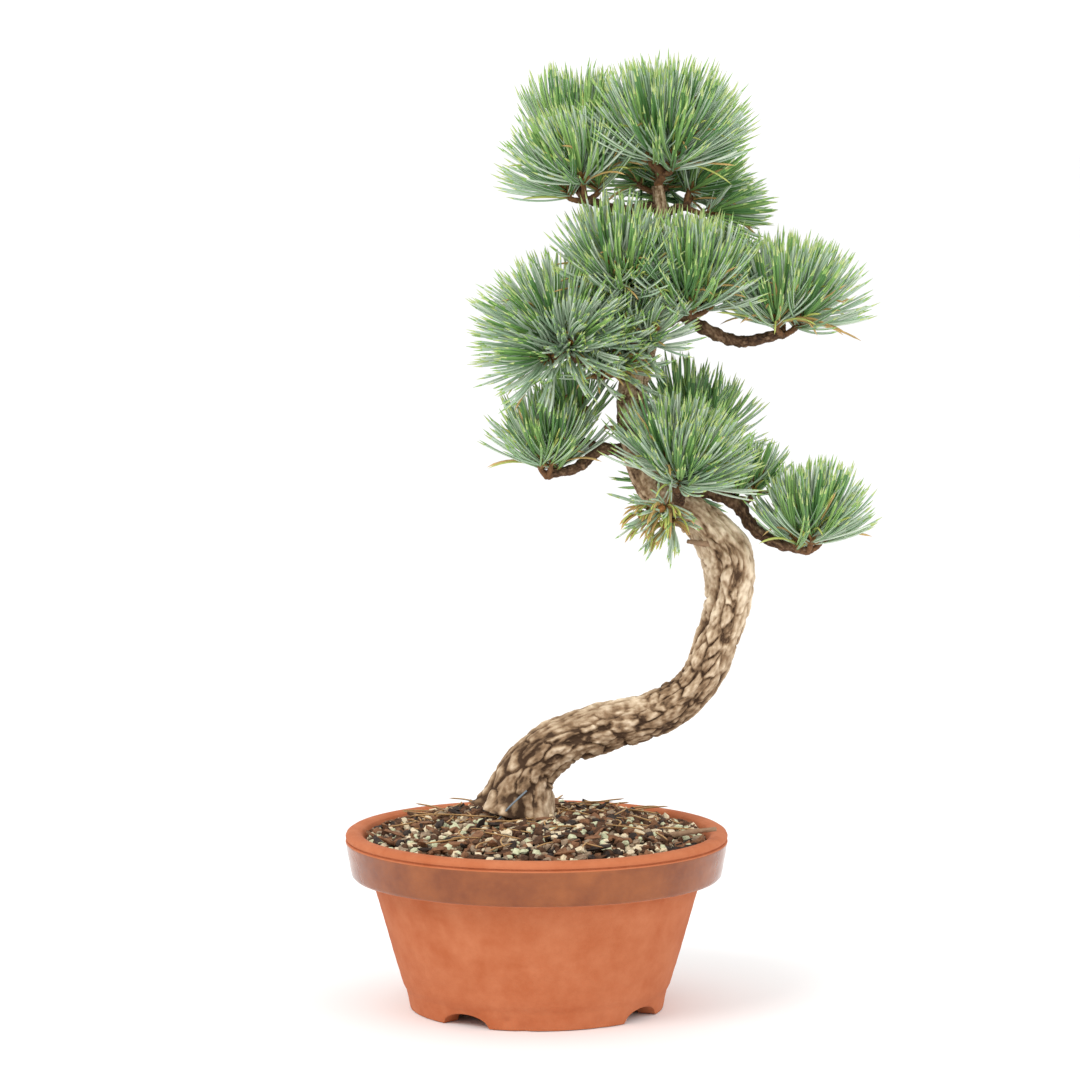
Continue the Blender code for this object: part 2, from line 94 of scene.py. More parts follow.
# Each mass of foliage: the foot of its shoots, the way that it faces, its reach, its half angle in
# degrees, the number of its shoots and the share of its needles that are yellow or dry.
MASSES = {
    "top": ((0.0630, -0.0060, 0.4200), (0.08, -0.10, 1.00), 0.0530, 77, 6, 0.06),
    "top_left": ((0.0190, 0.0120, 0.4210), (-0.02, 0.15, 1.00), 0.0470, 36, 2, 0.02),
    "top_back": ((0.0600, 0.0190, 0.4080), (0.00, 1.00, 0.75), 0.0420, 80, 4, 0.04),
    "upper_left": ((0.0225, -0.0080, 0.4060), (-0.42, -0.10, 1.00), 0.0440, 76, 4, 0.04),
    "upper_right": ((0.0770, 0.0080, 0.4010), (1.00, 0.30, 0.65), 0.0340, 80, 3, 0.05),
    "middle_front": ((0.0400, -0.0130, 0.3580), (0.00, -0.35, 1.00), 0.0460, 60, 4, 0.10),
    "middle_inner": ((0.0450, -0.0120, 0.3330), (0.10, -0.80, 0.80), 0.0380, 76, 3, 0.08),
    "middle_back": ((0.0540, 0.0140, 0.3560), (-0.15, 1.00, 0.70), 0.0450, 80, 4, 0.05),
    "right_front": ((0.0755, -0.0130, 0.3500), (0.06, -0.25, 1.00), 0.0490, 64, 4, 0.04),
    "right_back": ((0.0800, 0.0170, 0.3550), (0.35, 1.00, 0.85), 0.0420, 74, 3, 0.04),
    "right": ((0.1225, 0.0000, 0.3400), (0.10, -0.05, 1.00), 0.0470, 84, 5, 0.10),
    "left": ((0.0125, -0.0160, 0.3310), (-0.22, -0.35, 0.75), 0.0450, 112, 6, 0.03),
    "left_under": ((0.0350, -0.0110, 0.3180), (0.30, -0.60, 0.35), 0.0330, 66, 3, 0.25),
    "left_back": ((0.0290, 0.0200, 0.3370), (-0.50, 1.00, 0.45), 0.0440, 84, 4, 0.04),
    "left_low": ((0.0050, -0.0060, 0.2700), (-0.06, -0.10, 1.00), 0.0390, 68, 4, 0.05),
    "left_inner": ((0.0190, 0.0060, 0.2860), (-0.10, 0.45, 1.00), 0.0330, 56, 3, 0.05),
    "back_low": ((0.0770, 0.0190, 0.2790), (0.05, 0.55, 1.00), 0.0430, 62, 3, 0.04),
    "back_lowest": ((0.0700, 0.0200, 0.2600), (0.20, 1.00, 0.15), 0.0380, 76, 3, 0.06),
    "front_low": ((0.0690, -0.0200, 0.2640), (0.12, -0.35, 1.00), 0.0440, 80, 5, 0.05),
    "front_lowest": ((0.0640, -0.0180, 0.2490), (-0.35, -0.80, -0.10), 0.0290, 66, 3, 0.55),
    "middle_low": ((0.1030, 0.0080, 0.2550), (0.25, 0.20, 1.00), 0.0270, 60, 2, 0.05),
    "right_low": ((0.1345, -0.0040, 0.2325), (0.08, -0.05, 1.00), 0.0410, 70, 5, 0.05),
}


def linear(red, green, blue):
    """The linear colour for screen values from 0 to 255: their 2.2 power, near enough."""
    return ((red / 255) ** 2.2, (green / 255) ** 2.2, (blue / 255) ** 2.2, 1.0)


# Materials


def plain_material(name, colour, roughness):
    """One even colour, for needles and other things too fine to carry a pattern."""
    material = bpy.data.materials.new(name)
    material.use_nodes = True
    shader = material.node_tree.nodes["Principled BSDF"]
    shader.inputs["Base Color"].default_value = colour
    shader.inputs["Roughness"].default_value = roughness
    return material


# Where a mottled colour's ramp has its dark end, and its pale end by noise alone and by an attribute, and
# how much of the noise is added to the attribute.
DARK_AT = 0.30
PALE_AT = 0.70
PALE_AT_BY_ATTRIBUTE = 0.94
NOISE_SHARE = 0.45


def mottled_material(name, dark, pale, scale, roughness, bump, depth, attribute=None, gloss=0.5):
    """Colour from layered noise on object coordinates, and a finer noise as bump. Where an attribute is
    named, the colour follows that attribute and the noise only breaks it up."""
    material = bpy.data.materials.new(name)
    material.use_nodes = True
    nodes = material.node_tree.nodes
    links = material.node_tree.links
    shader = nodes["Principled BSDF"]
    shader.inputs["Roughness"].default_value = roughness
    shader.inputs["Specular IOR Level"].default_value = gloss
    place = nodes.new("ShaderNodeTexCoord")
    noise = nodes.new("ShaderNodeTexNoise")
    noise.inputs["Scale"].default_value = scale
    noise.inputs["Detail"].default_value = 6.0
    noise.inputs["Roughness"].default_value = 0.65
    links.new(place.outputs["Object"], noise.inputs["Vector"])
    shades = nodes.new("ShaderNodeValToRGB")
    shades.color_ramp.elements[0].position = DARK_AT
    shades.color_ramp.elements[0].color = dark
    shades.color_ramp.elements[1].position = PALE_AT if attribute is None else PALE_AT_BY_ATTRIBUTE
    shades.color_ramp.elements[1].color = pale
    if attribute is None:
        links.new(noise.outputs["Fac"], shades.inputs["Fac"])
    else:
        follow = nodes.new("ShaderNodeAttribute")
        follow.attribute_name = attribute
        mix = nodes.new("ShaderNodeMath")
        mix.operation = "MULTIPLY_ADD"
        mix.inputs[1].default_value = NOISE_SHARE
        links.new(noise.outputs["Fac"], mix.inputs[0])
        links.new(follow.outputs["Fac"], mix.inputs[2])
        links.new(mix.outputs["Value"], shades.inputs["Fac"])
    links.new(shades.outputs["Color"], shader.inputs["Base Color"])
    grain = nodes.new("ShaderNodeTexNoise")
    grain.inputs["Scale"].default_value = bump
    grain.inputs["Detail"].default_value = 4.0
    links.new(place.outputs["Object"], grain.inputs["Vector"])
    raised = nodes.new("ShaderNodeBump")
    raised.inputs["Strength"].default_value = 0.6
    raised.inputs["Distance"].default_value = depth
    links.new(grain.outputs["Fac"], raised.inputs["Height"])
    links.new(raised.outputs["Normal"], shader.inputs["Normal"])
    return material


def add_stop(material, position, colour):
    """One more colour on the ramp of a mottled material."""
    for node in material.node_tree.nodes:
        if node.type == "VALTORGB":
            stop = node.color_ramp.elements.new(position)
            stop.color = colour


# Noise worked out on whole arrays


def scramble(cells, seed):
    """A fraction from 0 to 1 for each lattice cell: its three whole numbers multiplied by large primes,
    mixed and folded."""
    whole = cells.astype(np.int64).astype(np.uint64)
    mixed = whole[..., 0] * np.uint64(73856093) ^ whole[..., 1] * np.uint64(19349663)
    mixed = mixed ^ whole[..., 2] * np.uint64(83492791) ^ np.uint64(seed * 2654435761 % 2 ** 32)
    mixed = mixed & np.uint64(0xFFFFFFFF)
    for shift, factor in ((15, 2246822519), (13, 3266489917)):
        mixed = ((mixed ^ (mixed >> np.uint64(shift))) * np.uint64(factor)) & np.uint64(0xFFFFFFFF)
    mixed = mixed ^ (mixed >> np.uint64(16))
    return mixed.astype(float) / 2.0 ** 32


def soft_noise(points, seed):
    """Random numbers on a lattice, blended smoothly between its corners, from -1 to 1."""
    base = np.floor(points).astype(np.int64)
    part = points - base
    part = part * part * (3 - 2 * part)
    total = np.zeros(points.shape[:-1])
    for corner in np.ndindex(2, 2, 2):
        step = np.array(corner)
        weight = np.prod(np.where(step == 1, part, 1 - part), axis=-1)
        total += weight * scramble(base + step, seed)
    return total * 2 - 1


def rough_noise(points, seed, layers=4):
    """Layers of soft noise, each twice as fine and half as strong as the one before."""
    total = np.zeros(points.shape[:-1])
    for layer in range(layers):
        total += soft_noise(points * 2 ** layer + layer * 7.3, seed + layer) / 2 ** (layer + 1)
    return total


def plates(points, seed):
    """For each point the distance to the nearest of seeds scattered one to a cell, that to the second
    nearest, and the nearest seed's own random number. Their difference is small along the cracks."""
    base = np.floor(points).astype(np.int64)
    nearest = np.full(points.shape[:-1], 9.0)
    second = nearest.copy()
    label = np.zeros_like(nearest)
    for corner in np.ndindex(3, 3, 3):
        cell = base + np.array(corner) - 1
        spot = cell + np.stack([scramble(cell, seed + k) for k in range(3)], axis=-1)
        away = np.linalg.norm(points - spot, axis=-1)
        closer = away < nearest
        second = np.where(closer, nearest, np.minimum(second, away))
        label = np.where(closer, scramble(cell, seed + 5), label)
        nearest = np.where(closer, away, nearest)
    return nearest, second, label


def ramp(value, low, high):
    """0 below low, 1 above high, and a smooth rise between them."""
    part = np.clip((value - low) / (high - low), 0, 1)
    return part * part * (3 - 2 * part)


# Meshes from arrays


def unit(vectors):
    """The same directions at length 1."""
    return vectors / np.maximum(np.linalg.norm(vectors, axis=-1, keepdims=True), 1e-12)


def full_turn(count):
    """Angles spaced evenly round a circle."""
    return np.linspace(0, 2 * pi, count, endpoint=False)


def around(radius, turn, height):
    """Points by their distance from an upright axis, their angle round it and their height."""
    return np.stack(np.broadcast_arrays(radius * np.cos(turn), radius * np.sin(turn), height), axis=-1)


def toward(angle, first, second):
    """The direction at each angle from one direction toward another that is square to it."""
    return np.cos(angle)[:, None] * first + np.sin(angle)[:, None] * second


def put_down(name, points, faces, materials, face_materials=None, smooth=True, node=None, tone=None):
    """Makes a mesh piece of points measured from the pot's axis, moves them to the frame, and has the piece
    ride on the body. faces is an array of triangles or a list of faces. tone has a number for each point."""
    placed = np.array(points, dtype=np.float32).reshape(-1, 3) + np.array((AXIS_X, 0, 0), dtype=np.float32)
    mesh = bpy.data.meshes.new(name)
    if isinstance(faces, np.ndarray):
        corners = faces.shape[1]
        mesh.vertices.add(len(placed))
        mesh.vertices.foreach_set("co", placed.ravel())
        mesh.loops.add(faces.size)
        mesh.loops.foreach_set("vertex_index", faces.astype(np.int32).ravel())
        mesh.polygons.add(len(faces))
        mesh.polygons.foreach_set("loop_start", np.arange(0, faces.size, corners, dtype=np.int32))
    else:
        mesh.from_pydata(placed.tolist(), [], faces)
    for material in materials:
        mesh.materials.append(material)
    if face_materials is not None:
        mesh.polygons.foreach_set("material_index", np.asarray(face_materials, dtype=np.int32))
    mesh.polygons.foreach_set("use_smooth", np.full(len(mesh.polygons), smooth))
    mesh.update(calc_edges=True)
    if tone is not None:
        layer = mesh.attributes.new("tone", "FLOAT", "POINT")
        layer.data.foreach_set("value", np.asarray(tone, dtype=np.float32))
    piece = bpy.data.objects.new(name, mesh)
    bpy.context.scene.collection.objects.link(piece)
    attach(piece, "root")
    if node is not None:
        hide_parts(node)
    return piece


def ring_faces(rows, columns, wrap_rows=False):
    """The faces of a grid that closes round its columns. Its two end rings close on a pole point each,
    which come after the grid's own points, or the last row meets the first."""
    row = np.arange(rows if wrap_rows else rows - 1)[:, None]
    column = np.arange(columns)[None, :]
    across = (column + 1) % columns
    above = (row + 1) % rows
    quads = np.stack([
        row * columns + column, row * columns + across, above * columns + across, above * columns + column,
    ], axis=-1).reshape(-1, 4).tolist()
    if wrap_rows:
        return quads
    turn = np.arange(columns)
    after = (turn + 1) % columns
    first = rows * columns
    start = np.stack([np.full(columns, first), after, turn], axis=-1).tolist()
    last = (rows - 1) * columns
    end = np.stack([np.full(columns, first + 1), last + turn, last + after], axis=-1).tolist()
    return quads + start + end


def smooth_line(stations, count):
    """A curve through the stations, as evenly spaced points: cubic pieces whose slope at a station is that
    of the line between its neighbours. Also gives each point's distance along the curve."""
    spots = np.array(stations, dtype=float)
    gaps = np.linalg.norm(np.diff(spots[:, :3], axis=0), axis=1)
    at = np.concatenate([[0], np.cumsum(gaps)])
    slopes = np.gradient(spots, at, axis=0)
    along = np.linspace(0, at[-1], count)
    piece = np.clip(np.searchsorted(at, along, side="right") - 1, 0, len(at) - 2)
    span = (at[piece + 1] - at[piece])[:, None]
    t = (along - at[piece])[:, None] / span
    line = (2 * t ** 3 - 3 * t ** 2 + 1) * spots[piece] + (t ** 3 - 2 * t ** 2 + t) * span * slopes[piece]
    line += (3 * t ** 2 - 2 * t ** 3) * spots[piece + 1] + (t ** 3 - t ** 2) * span * slopes[piece + 1]
    return line, along


def rings_along(line, radii, sides, relief=None):
    """Rings of points round a line: at each of its points, a circle square to it, of that radius plus the
    relief given for each ring and side."""
    ahead = unit(np.gradient(line, axis=0))
    side = np.eye(3)[np.argmin(np.abs(ahead).max(axis=0))]
    first = unit(np.cross(ahead, side))
    second = np.cross(ahead, first)
    turn = full_turn(sides)
    size = np.broadcast_to(np.asarray(radii).reshape(-1, 1), (len(line), sides)).copy()
    if relief is not None:
        size += relief
    spread = np.cos(turn)[None, :, None] * first[:, None] + np.sin(turn)[None, :, None] * second[:, None]
    return line[:, None] + size[..., None] * spread


def tube(line, radii, sides, relief=None):
    """A closed tube: rings along a line, with a pole in the middle of each end."""
    rings = rings_along(line, radii, sides, relief)
    points = np.concatenate([rings.reshape(-1, 3), line[:1], line[-1:]])
    return points, ring_faces(len(line), sides)


def joined(parts):
    """Several (points, faces) pairs as one, each one's faces counted on from the points before it."""
    points = []
    faces = []
    count = 0
    for part_points, part_faces in parts:
        points.append(part_points)
        faces += [[corner + count for corner in face] for face in part_faces]
        count += len(part_points)
    return np.concatenate(points), faces


# Bark


def bark_relief(along, sides, radii, width, length, depth, seed):
    """Plates parted by cracks, each plate domed and at its own level, with fine roughness and flakes over
    them. The level is a weighted sum of the crack, the plate's own number, the fine and the flaky noise,
    less the square of the distance from the plate's middle; the colour is a like sum, so that it is darker
    in the cracks and hollows and paler on the raised parts as painted shade, while the plate's own number
    and the broad noise give the bark's own tone. A broad noise says where the cracks show. It is all worked
    out on a cylinder of the limb's middle radius, so that it meets itself round the back. Returns the relief
    in metres and a number from 0 to 1 for the colour, painted shade included."""
    turn = full_turn(sides)
    spots = around(np.mean(radii) / width, turn, along[:, None] / length)
    waver = [rough_noise(spots * 1.7 + 11 * k, seed + 20 + k, 2) for k in range(3)]
    nearest, second, label = plates(spots + 0.35 * np.stack(waver, -1), seed)
    fine = rough_noise(spots * 4.0, seed + 40, 3)
    flake = rough_noise(spots * np.array((1.2, 1.2, 3.0)), seed + 50, 3)
    broad = rough_noise(spots * 0.45, seed + 60, 2)
    crack = 1 - (1 - ramp(second - nearest, 0.02, 0.20)) * ramp(broad, -0.30, 0.25)
    level = 0.9 * (crack - 1) + 0.75 * (label - 0.5) + 0.45 * fine + 0.7 * flake - 0.30 * (nearest ** 2)
    depth = np.broadcast_to(np.asarray(depth).reshape(-1, 1), level.shape)
    # The colour: painted shade, darker in the cracks and hollows and paler on raised parts, plus the plate's
    # own tone.
    tone = 0.48 + 0.14 * (label - 0.5) + 0.34 * (crack - 1) + 0.38 * fine + 0.26 * flake - 0.14 * broad
    tone = np.clip(tone, 0, 1)
    return level * depth, tone


# The trunk's bark: the size of its plates, the size of the level bands above the graft, and depths.
TRUNK_ROWS = 620
TRUNK_SIDES = 150
PLATE_WIDTH = 0.0046
PLATE_LENGTH = 0.0125
BAND_WIDTH = 0.0050
BAND_LENGTH = 0.0022
BAND_DEPTH = 0.00030
SMOOTH_DEPTH = 0.00038
ROUGH_DEPTH = 0.00105

# The groove: its depth, the side where it starts, its twist in radians for each metre, and its width in
# radians. The lumps: their length, and their height as a share of the radius.
GROOVE_DEPTH = 0.0016
GROOVE_TURN = 4.1
GROOVE_TWIST = 18.0
GROOVE_WIDTH = 0.16
LUMP_LENGTH = 0.017
LUMP_SHARE = 0.09

# Between these distances along the trunk its bark turns paler.
PALE_FROM = 0.10
PALE_FULL = 0.17

# The tones of the two points that close a tube.
END_TONES = (0.3, 0.3)


def build_trunk(bark):
    """The whole trunk. Its bark is rough and plated up to the graft, and smoother above it, with fine
    level bands. The foot spreads into root ridges: the radius grows by the square of the nearness to the
    soil, more on five ridges round it. A groove winds up the trunk: its depth falls off as a bell curve
    to both sides of a line that turns evenly with the distance, and its bark is darker along it, as painted
    shade. Soft noise swells and narrows the whole. The bark is paler from its middle up to the graft."""
    line, along = smooth_line(TRUNK, TRUNK_ROWS)
    path = line[:, :3]
    radii = line[:, 3]
    turn = full_turn(TRUNK_SIDES)[None, :]
    low = 1 - ramp(along, GRAFT_AT - 0.012, GRAFT_AT + 0.014)
    depth = SMOOTH_DEPTH + ROUGH_DEPTH * low
    rough, tone = bark_relief(along, TRUNK_SIDES, radii, PLATE_WIDTH, PLATE_LENGTH, depth, 3)
    bands, band_tone = bark_relief(
        along, TRUNK_SIDES, radii, BAND_WIDTH, BAND_LENGTH, BAND_DEPTH * (1 - low), 9)
    relief = rough + bands
    tone = tone * (0.55 + 0.45 * low[:, None]) + 0.5 * band_tone * (1 - low[:, None])
    nearness = np.clip(1 - along / FLARE_HEIGHT, 0, 1)[:, None] ** 2
    ridges = 0.20 + 0.16 * np.cos(5 * turn + 0.7) + 0.07 * np.cos(9 * turn)
    relief = relief + radii[:, None] * nearness * ridges
    off_line = np.mod(turn - GROOVE_TWIST * along[:, None] - GROOVE_TURN + pi, 2 * pi) - pi
    groove = np.exp(-(off_line / GROOVE_WIDTH) ** 2)
    relief = relief - GROOVE_DEPTH * groove * low[:, None] * ramp(along, 0.015, 0.05)[:, None]
    # Painted shade: the bark is darker along the groove.
    tone = np.clip(tone - 0.35 * groove * low[:, None], 0, 1)
    lumps = around(1.4, turn, along[:, None] / LUMP_LENGTH)
    relief = relief + LUMP_SHARE * radii[:, None] * soft_noise(lumps, 61)
    middle = ramp(along, PALE_FROM, PALE_FULL) * (1 - ramp(along, GRAFT_AT - 0.02, GRAFT_AT + 0.02))
    tone = np.clip(tone - 0.11 + 0.20 * middle[:, None], 0, 1)
    points, faces = tube(path, radii, TRUNK_SIDES, relief)
    points[:, 2] = np.maximum(points[:, 2], SOIL_Z)
    tone = np.concatenate([tone.ravel(), END_TONES])
    put_down("trunk_bark", points, faces, [bark], node="trunk", tone=tone)
    return path


# A bough's bark, and how far before the foot of its mass it ends, as a share of the mass's reach.
BOUGH_ROWS = 110
BOUGH_SIDES = 40
SCALE_WIDTH = 0.0024
SCALE_LENGTH = 0.0034
SCALE_DEPTH = 0.00050
BOUGH_END_SHARE = 0.06


def build_boughs(bark):
    """Each bough as one tapering limb with scaly bark, run on to the foot of the mass that it carries. Its
    radius falls evenly, with a small wave on it. Returns their middle lines by mass."""
    lines = {}
    for seed, (name, (mass, stations, start, end)) in enumerate(BOUGHS.items()):
        foot, facing, reach = MASSES[mass][:3]
        tip = np.array(foot) - unit(np.array(facing)) * reach * BOUGH_END_SHARE
        line, along = smooth_line(stations + (tuple(tip),), BOUGH_ROWS)
        radii = np.linspace(start, end, BOUGH_ROWS) * (1 + 0.10 * np.sin(along * 900 + seed))
        relief, tone = bark_relief(
            along, BOUGH_SIDES, radii, SCALE_WIDTH, SCALE_LENGTH, SCALE_DEPTH, 100 + seed)
        points, faces = tube(line, radii, BOUGH_SIDES, relief)
        # The bough's colour carries the bark's painted shade, darker in the cracks and hollows between
        # scales.
        tone = np.concatenate([0.75 * tone.ravel(), END_TONES])
        put_down(name + "_bark", points, faces, [bark], node=name, tone=tone)
        lines[mass] = line
    return lines


# Needles

NEEDLE_STEPS = 8
CORNER_TURNS = (pi / 3, pi, 5 * pi / 3)
GREENS = ((88, 132, 76), (108, 152, 86), (126, 168, 94), (146, 184, 104))
INNERS = ((174, 200, 172), (194, 214, 190), (212, 226, 206))
TIPS = ((146, 184, 100), (184, 202, 128))
FADED = ((186, 194, 104), (204, 168, 108))

# The share of its bundles that an open mass keeps. The others keep all.
OPENNESS = {
    "front_lowest": 0.40, "left_under": 0.45, "left_inner": 0.50, "left_low": 0.72, "middle_inner": 0.70,
    "right_low": 0.85, "middle_low": 0.70,
}

# The bundles on a shoot, up to one under the second number. From one to the next they turn by the golden
# angle. A needle's length is a share of its mass's reach.
BUNDLES = (22, 27)
BUNDLE_TURN = 2.39996
NEEDLES_IN_BUNDLE = 5
NEEDLE_WIDTHS = (0.00112, 0.00142)
NEEDLE_SHARES = (0.78, 0.97)

# The widest half angle of one shoot, the slope of a mass's first shoot and the least lean of the rest, in
# degrees. Then the radii of a twig and of a shoot at the start and the end.
SHOOT_LENGTHS = (0.010, 0.014)
SHOOT_HALF_ANGLE = 58
FIRST_SLOPE = 6
LEAST_LEAN = 8
TWIG_RADII = (0.0021, 0.0015)
SHOOT_RADII = (0.0014, 0.0009)
TWIG_ROWS = 24
SHOOT_ROWS = 30

SHEATH_LENGTH = 0.0052
SHEATH_WIDTH = 0.0024
BUD_LENGTH = 0.0062
BUD_RADIUS = 0.0017
BUD_ROWS = 15


def needle_materials():
    """The outer greens, the pale inner faces, the yellow-green tips and the fading needles, in that
    order."""
    made = []
    for kind, colours, roughness in (
            ("outer", GREENS, 0.42), ("inner", INNERS, 0.55), ("tip", TIPS, 0.45), ("faded", FADED, 0.60)):
        for number, colour in enumerate(colours):
            made.append(plain_material(f"needle_{kind}_{number}", linear(*colour), roughness))
    return made


def blades(roots, start, end, lengths, widths, outward):
    """Three-sided tapering blades, all at once. The middle line starts at the root and turns evenly from
    its start direction to its end direction: root + length (start (t - t²/2) + end t²/2). The section is a
    triangle with one flat side outward. It is a little wider in the middle, and narrows to a point over
    the last eighth. Also gives the side and the step of each face of a blade."""
    t = np.linspace(0, 1, NEEDLE_STEPS + 1)
    bend = (t ** 2 / 2)[None, :, None]
    line = start[:, None] * (t[None, :, None] - bend) + end[:, None] * bend
    line = roots[:, None] + lengths[:, None, None] * line
    ahead = unit(start + end)
    up = unit(outward - np.sum(outward * ahead, axis=1, keepdims=True) * ahead)
    side = np.cross(ahead, up)
    taper = (0.80 + 0.20 * np.sin(pi * t)) * np.minimum(1, ((1.004 - t) / 0.13)) ** 0.7
    size = widths[:, None] / 2 * taper[None, :]
    rings = []
    for turn in CORNER_TURNS:
        corner = cos(turn) * up + sin(turn) * side
        rings.append(line + size[..., None] * corner[:, None])
    points = np.stack(rings, axis=2)
    step = np.arange(NEEDLE_STEPS)[:, None] * 3
    corner = np.arange(3)[None, :]
    across = (corner + 1) % 3
    lower = np.stack([step + corner, step + across, step + 3 + across], axis=-1).reshape(-1, 3)
    upper = np.stack([step + corner, step + 3 + across, step + 3 + corner], axis=-1).reshape(-1, 3)
    top = NEEDLE_STEPS * 3
    caps = np.array([[2, 1, 0], [top, top + 1, top + 2]])
    pattern = np.concatenate([lower, upper, caps])
    shift = np.arange(len(roots))[:, None, None] * (top + 3)
    faces = (pattern[None] + shift).reshape(-1, 3)
    side_of_face = np.concatenate([np.tile(np.arange(3), NEEDLE_STEPS)] * 2 + [np.array([1, 1])])
    step_of_face = np.concatenate([np.repeat(np.arange(NEEDLE_STEPS), 3)] * 2 + [np.array([0, NEEDLE_STEPS])])
    return points.reshape(-1, 3), faces, side_of_face, step_of_face


def needle_colours(side_of_face, step_of_face, outer, inner, tip, faded):
    """The material of every face: the outer side green, the other two pale, the last step the tip's, and a
    fading needle one colour all over."""
    is_outer = (side_of_face == 2)[None, :]
    is_tip = (step_of_face >= NEEDLE_STEPS - 1)[None, :]
    chosen = np.where(is_outer, outer[:, None], len(GREENS) + inner[:, None])
    chosen = np.where(is_tip, len(GREENS) + len(INNERS) + tip[:, None], chosen)
    fade_slot = len(GREENS) + len(INNERS) + len(TIPS) + np.maximum(faded, 0)
    chosen = np.where((faded >= 0)[:, None], fade_slot[:, None], chosen)
    return chosen.ravel()


def square_to(axis):
    """Two directions square to an axis and to each other."""
    helper = np.eye(3)[np.argmin(np.abs(axis))]
    first = unit(np.cross(axis, helper))
    return first, np.cross(axis, first)


def grow_shoots(rng, foot, facing, half_angle, count):
    """The seeded branching rule of a mass: from its foot, shoots part evenly round its axis, each at its own
    slope, so that their needles together fill the half angle. The first stands nearly along the axis.
    Returns (foot, direction, half angle) for each."""
    axis = unit(np.array(facing, dtype=float))
    first, second = square_to(axis)
    own = min(half_angle, SHOOT_HALF_ANGLE)
    lean = max(half_angle - own, LEAST_LEAN)
    shoots = []
    for number in range(count):
        turn = 2 * pi * (number + rng.uniform(-0.25, 0.25)) / count + rng.uniform(0, 0.6)
        slope = radians(lean * rng.uniform(0.75, 1.1)) if number else radians(FIRST_SLOPE)
        away = cos(turn) * first + sin(turn) * second
        direction = unit(cos(slope) * axis + sin(slope) * away)
        place = foot + away * rng.uniform(0.003, 0.008) + axis * rng.uniform(-0.003, 0.004)
        shoots.append((place, direction, own))
    return shoots


def build_mass(seed, name, materials, limb_ends):
    """One mass: its twigs, and on each shoot the needles in bundles of five. The bundles follow a spiral up
    the shoot. Those low on it stand out widest, those near its bud stand up, and every needle bends back
    towards the shoot's axis. A fading one droops. Returns the lines and radii of the twigs, the buds'
    places and directions, and the bundles' roots, directions and outer sides."""
    foot, facing, reach, half_angle, count, fading = MASSES[name]
    foot = np.array(foot)
    rng = np.random.default_rng(500 + seed)
    roots, starts, ends, lengths, widths, outs = [], [], [], [], [], []
    outer, inner, tip, faded = [], [], [], []
    twigs, buds, sheaths = [], [], []
    source = limb_ends(name, foot)
    if source is not None:
        middle = (source + foot) / 2 + np.array((0, 0, -0.0015))
        line, along = smooth_line((source, middle, foot), TWIG_ROWS)
        joints = 1 + 0.12 * np.sin(along * 1500)
        twigs.append((line, np.linspace(*TWIG_RADII, TWIG_ROWS) * joints))
    for place, direction, own in grow_shoots(rng, foot, facing, half_angle, count):
        shoot_length = rng.uniform(*SHOOT_LENGTHS)
        start = foot - unit(np.array(facing)) * 0.004
        end = place + direction * shoot_length
        line, along = smooth_line((start, place, end), SHOOT_ROWS)
        notches = 1 + 0.22 * np.mod(along * 900, 1.0)
        twigs.append((line, np.linspace(*SHOOT_RADII, SHOOT_ROWS) * notches))
        buds.append((end, direction))
        first, second = square_to(direction)
        bundles = int(rng.integers(*BUNDLES) * OPENNESS.get(name, 1.0))
        share = (np.arange(bundles) + rng.uniform(0.1, 0.9, bundles)) / bundles
        slope = np.radians(own) * (0.05 + 0.95 * share ** 0.72)
        turn = np.arange(bundles) * BUNDLE_TURN + rng.uniform(0, 6.3)
        height = shoot_length * (1.02 - 0.95 * share)
        radial = toward(turn, first, second)
        base = place + direction * height[:, None] + radial * 0.0012
        tints = rng.integers(0, len(GREENS), bundles)
        for _ in range(NEEDLES_IN_BUNDLE):
            angle = slope + np.radians(rng.normal(0, 4.5, bundles))
            swing = radial + 0.10 * rng.normal(size=(bundles, 3))
            swing = unit(swing - np.sum(swing * direction, axis=1, keepdims=True) * direction)
            opened = angle + np.radians(rng.uniform(4, 13, bundles))
            closed = angle - np.radians(rng.uniform(7, 20, bundles))
            is_faded = rng.uniform(size=bundles) < fading
            starts.append(toward(opened, direction, swing))
            last = toward(closed, direction, swing)
            last[:, 2] -= np.where(is_faded, rng.uniform(0.5, 1.2, bundles), 0.03)
            ends.append(unit(last))
            roots.append(base + 0.0006 * rng.normal(size=(bundles, 3)))
            room = reach - np.linalg.norm(base - foot, axis=1) * 0.35
            lengths.append(room * rng.uniform(*NEEDLE_SHARES, bundles) * np.where(is_faded, 0.8, 1.0))
            widths.append(rng.uniform(*NEEDLE_WIDTHS, bundles))
            outs.append(swing)
            outer.append(np.clip(tints + rng.integers(-1, 2, bundles), 0, len(GREENS) - 1))
            inner.append(rng.integers(0, len(INNERS), bundles))
            tip.append(rng.integers(0, len(TIPS), bundles))
            kind = rng.integers(0, len(FADED), bundles)
            faded.append(np.where(is_faded, kind, -1))
        sheaths.append((base, toward(slope, direction, radial), radial))
    shapes = [np.concatenate(group) for group in (roots, starts, ends, lengths, widths, outs)]
    points, faces, side_of_face, step_of_face = blades(*shapes)
    tones = [np.concatenate(group) for group in (outer, inner, tip, faded)]
    chosen = needle_colours(side_of_face, step_of_face, *tones)
    put_down("needles_" + name, points, faces, materials, chosen, node="foliage_" + name)
    return twigs, buds, sheaths


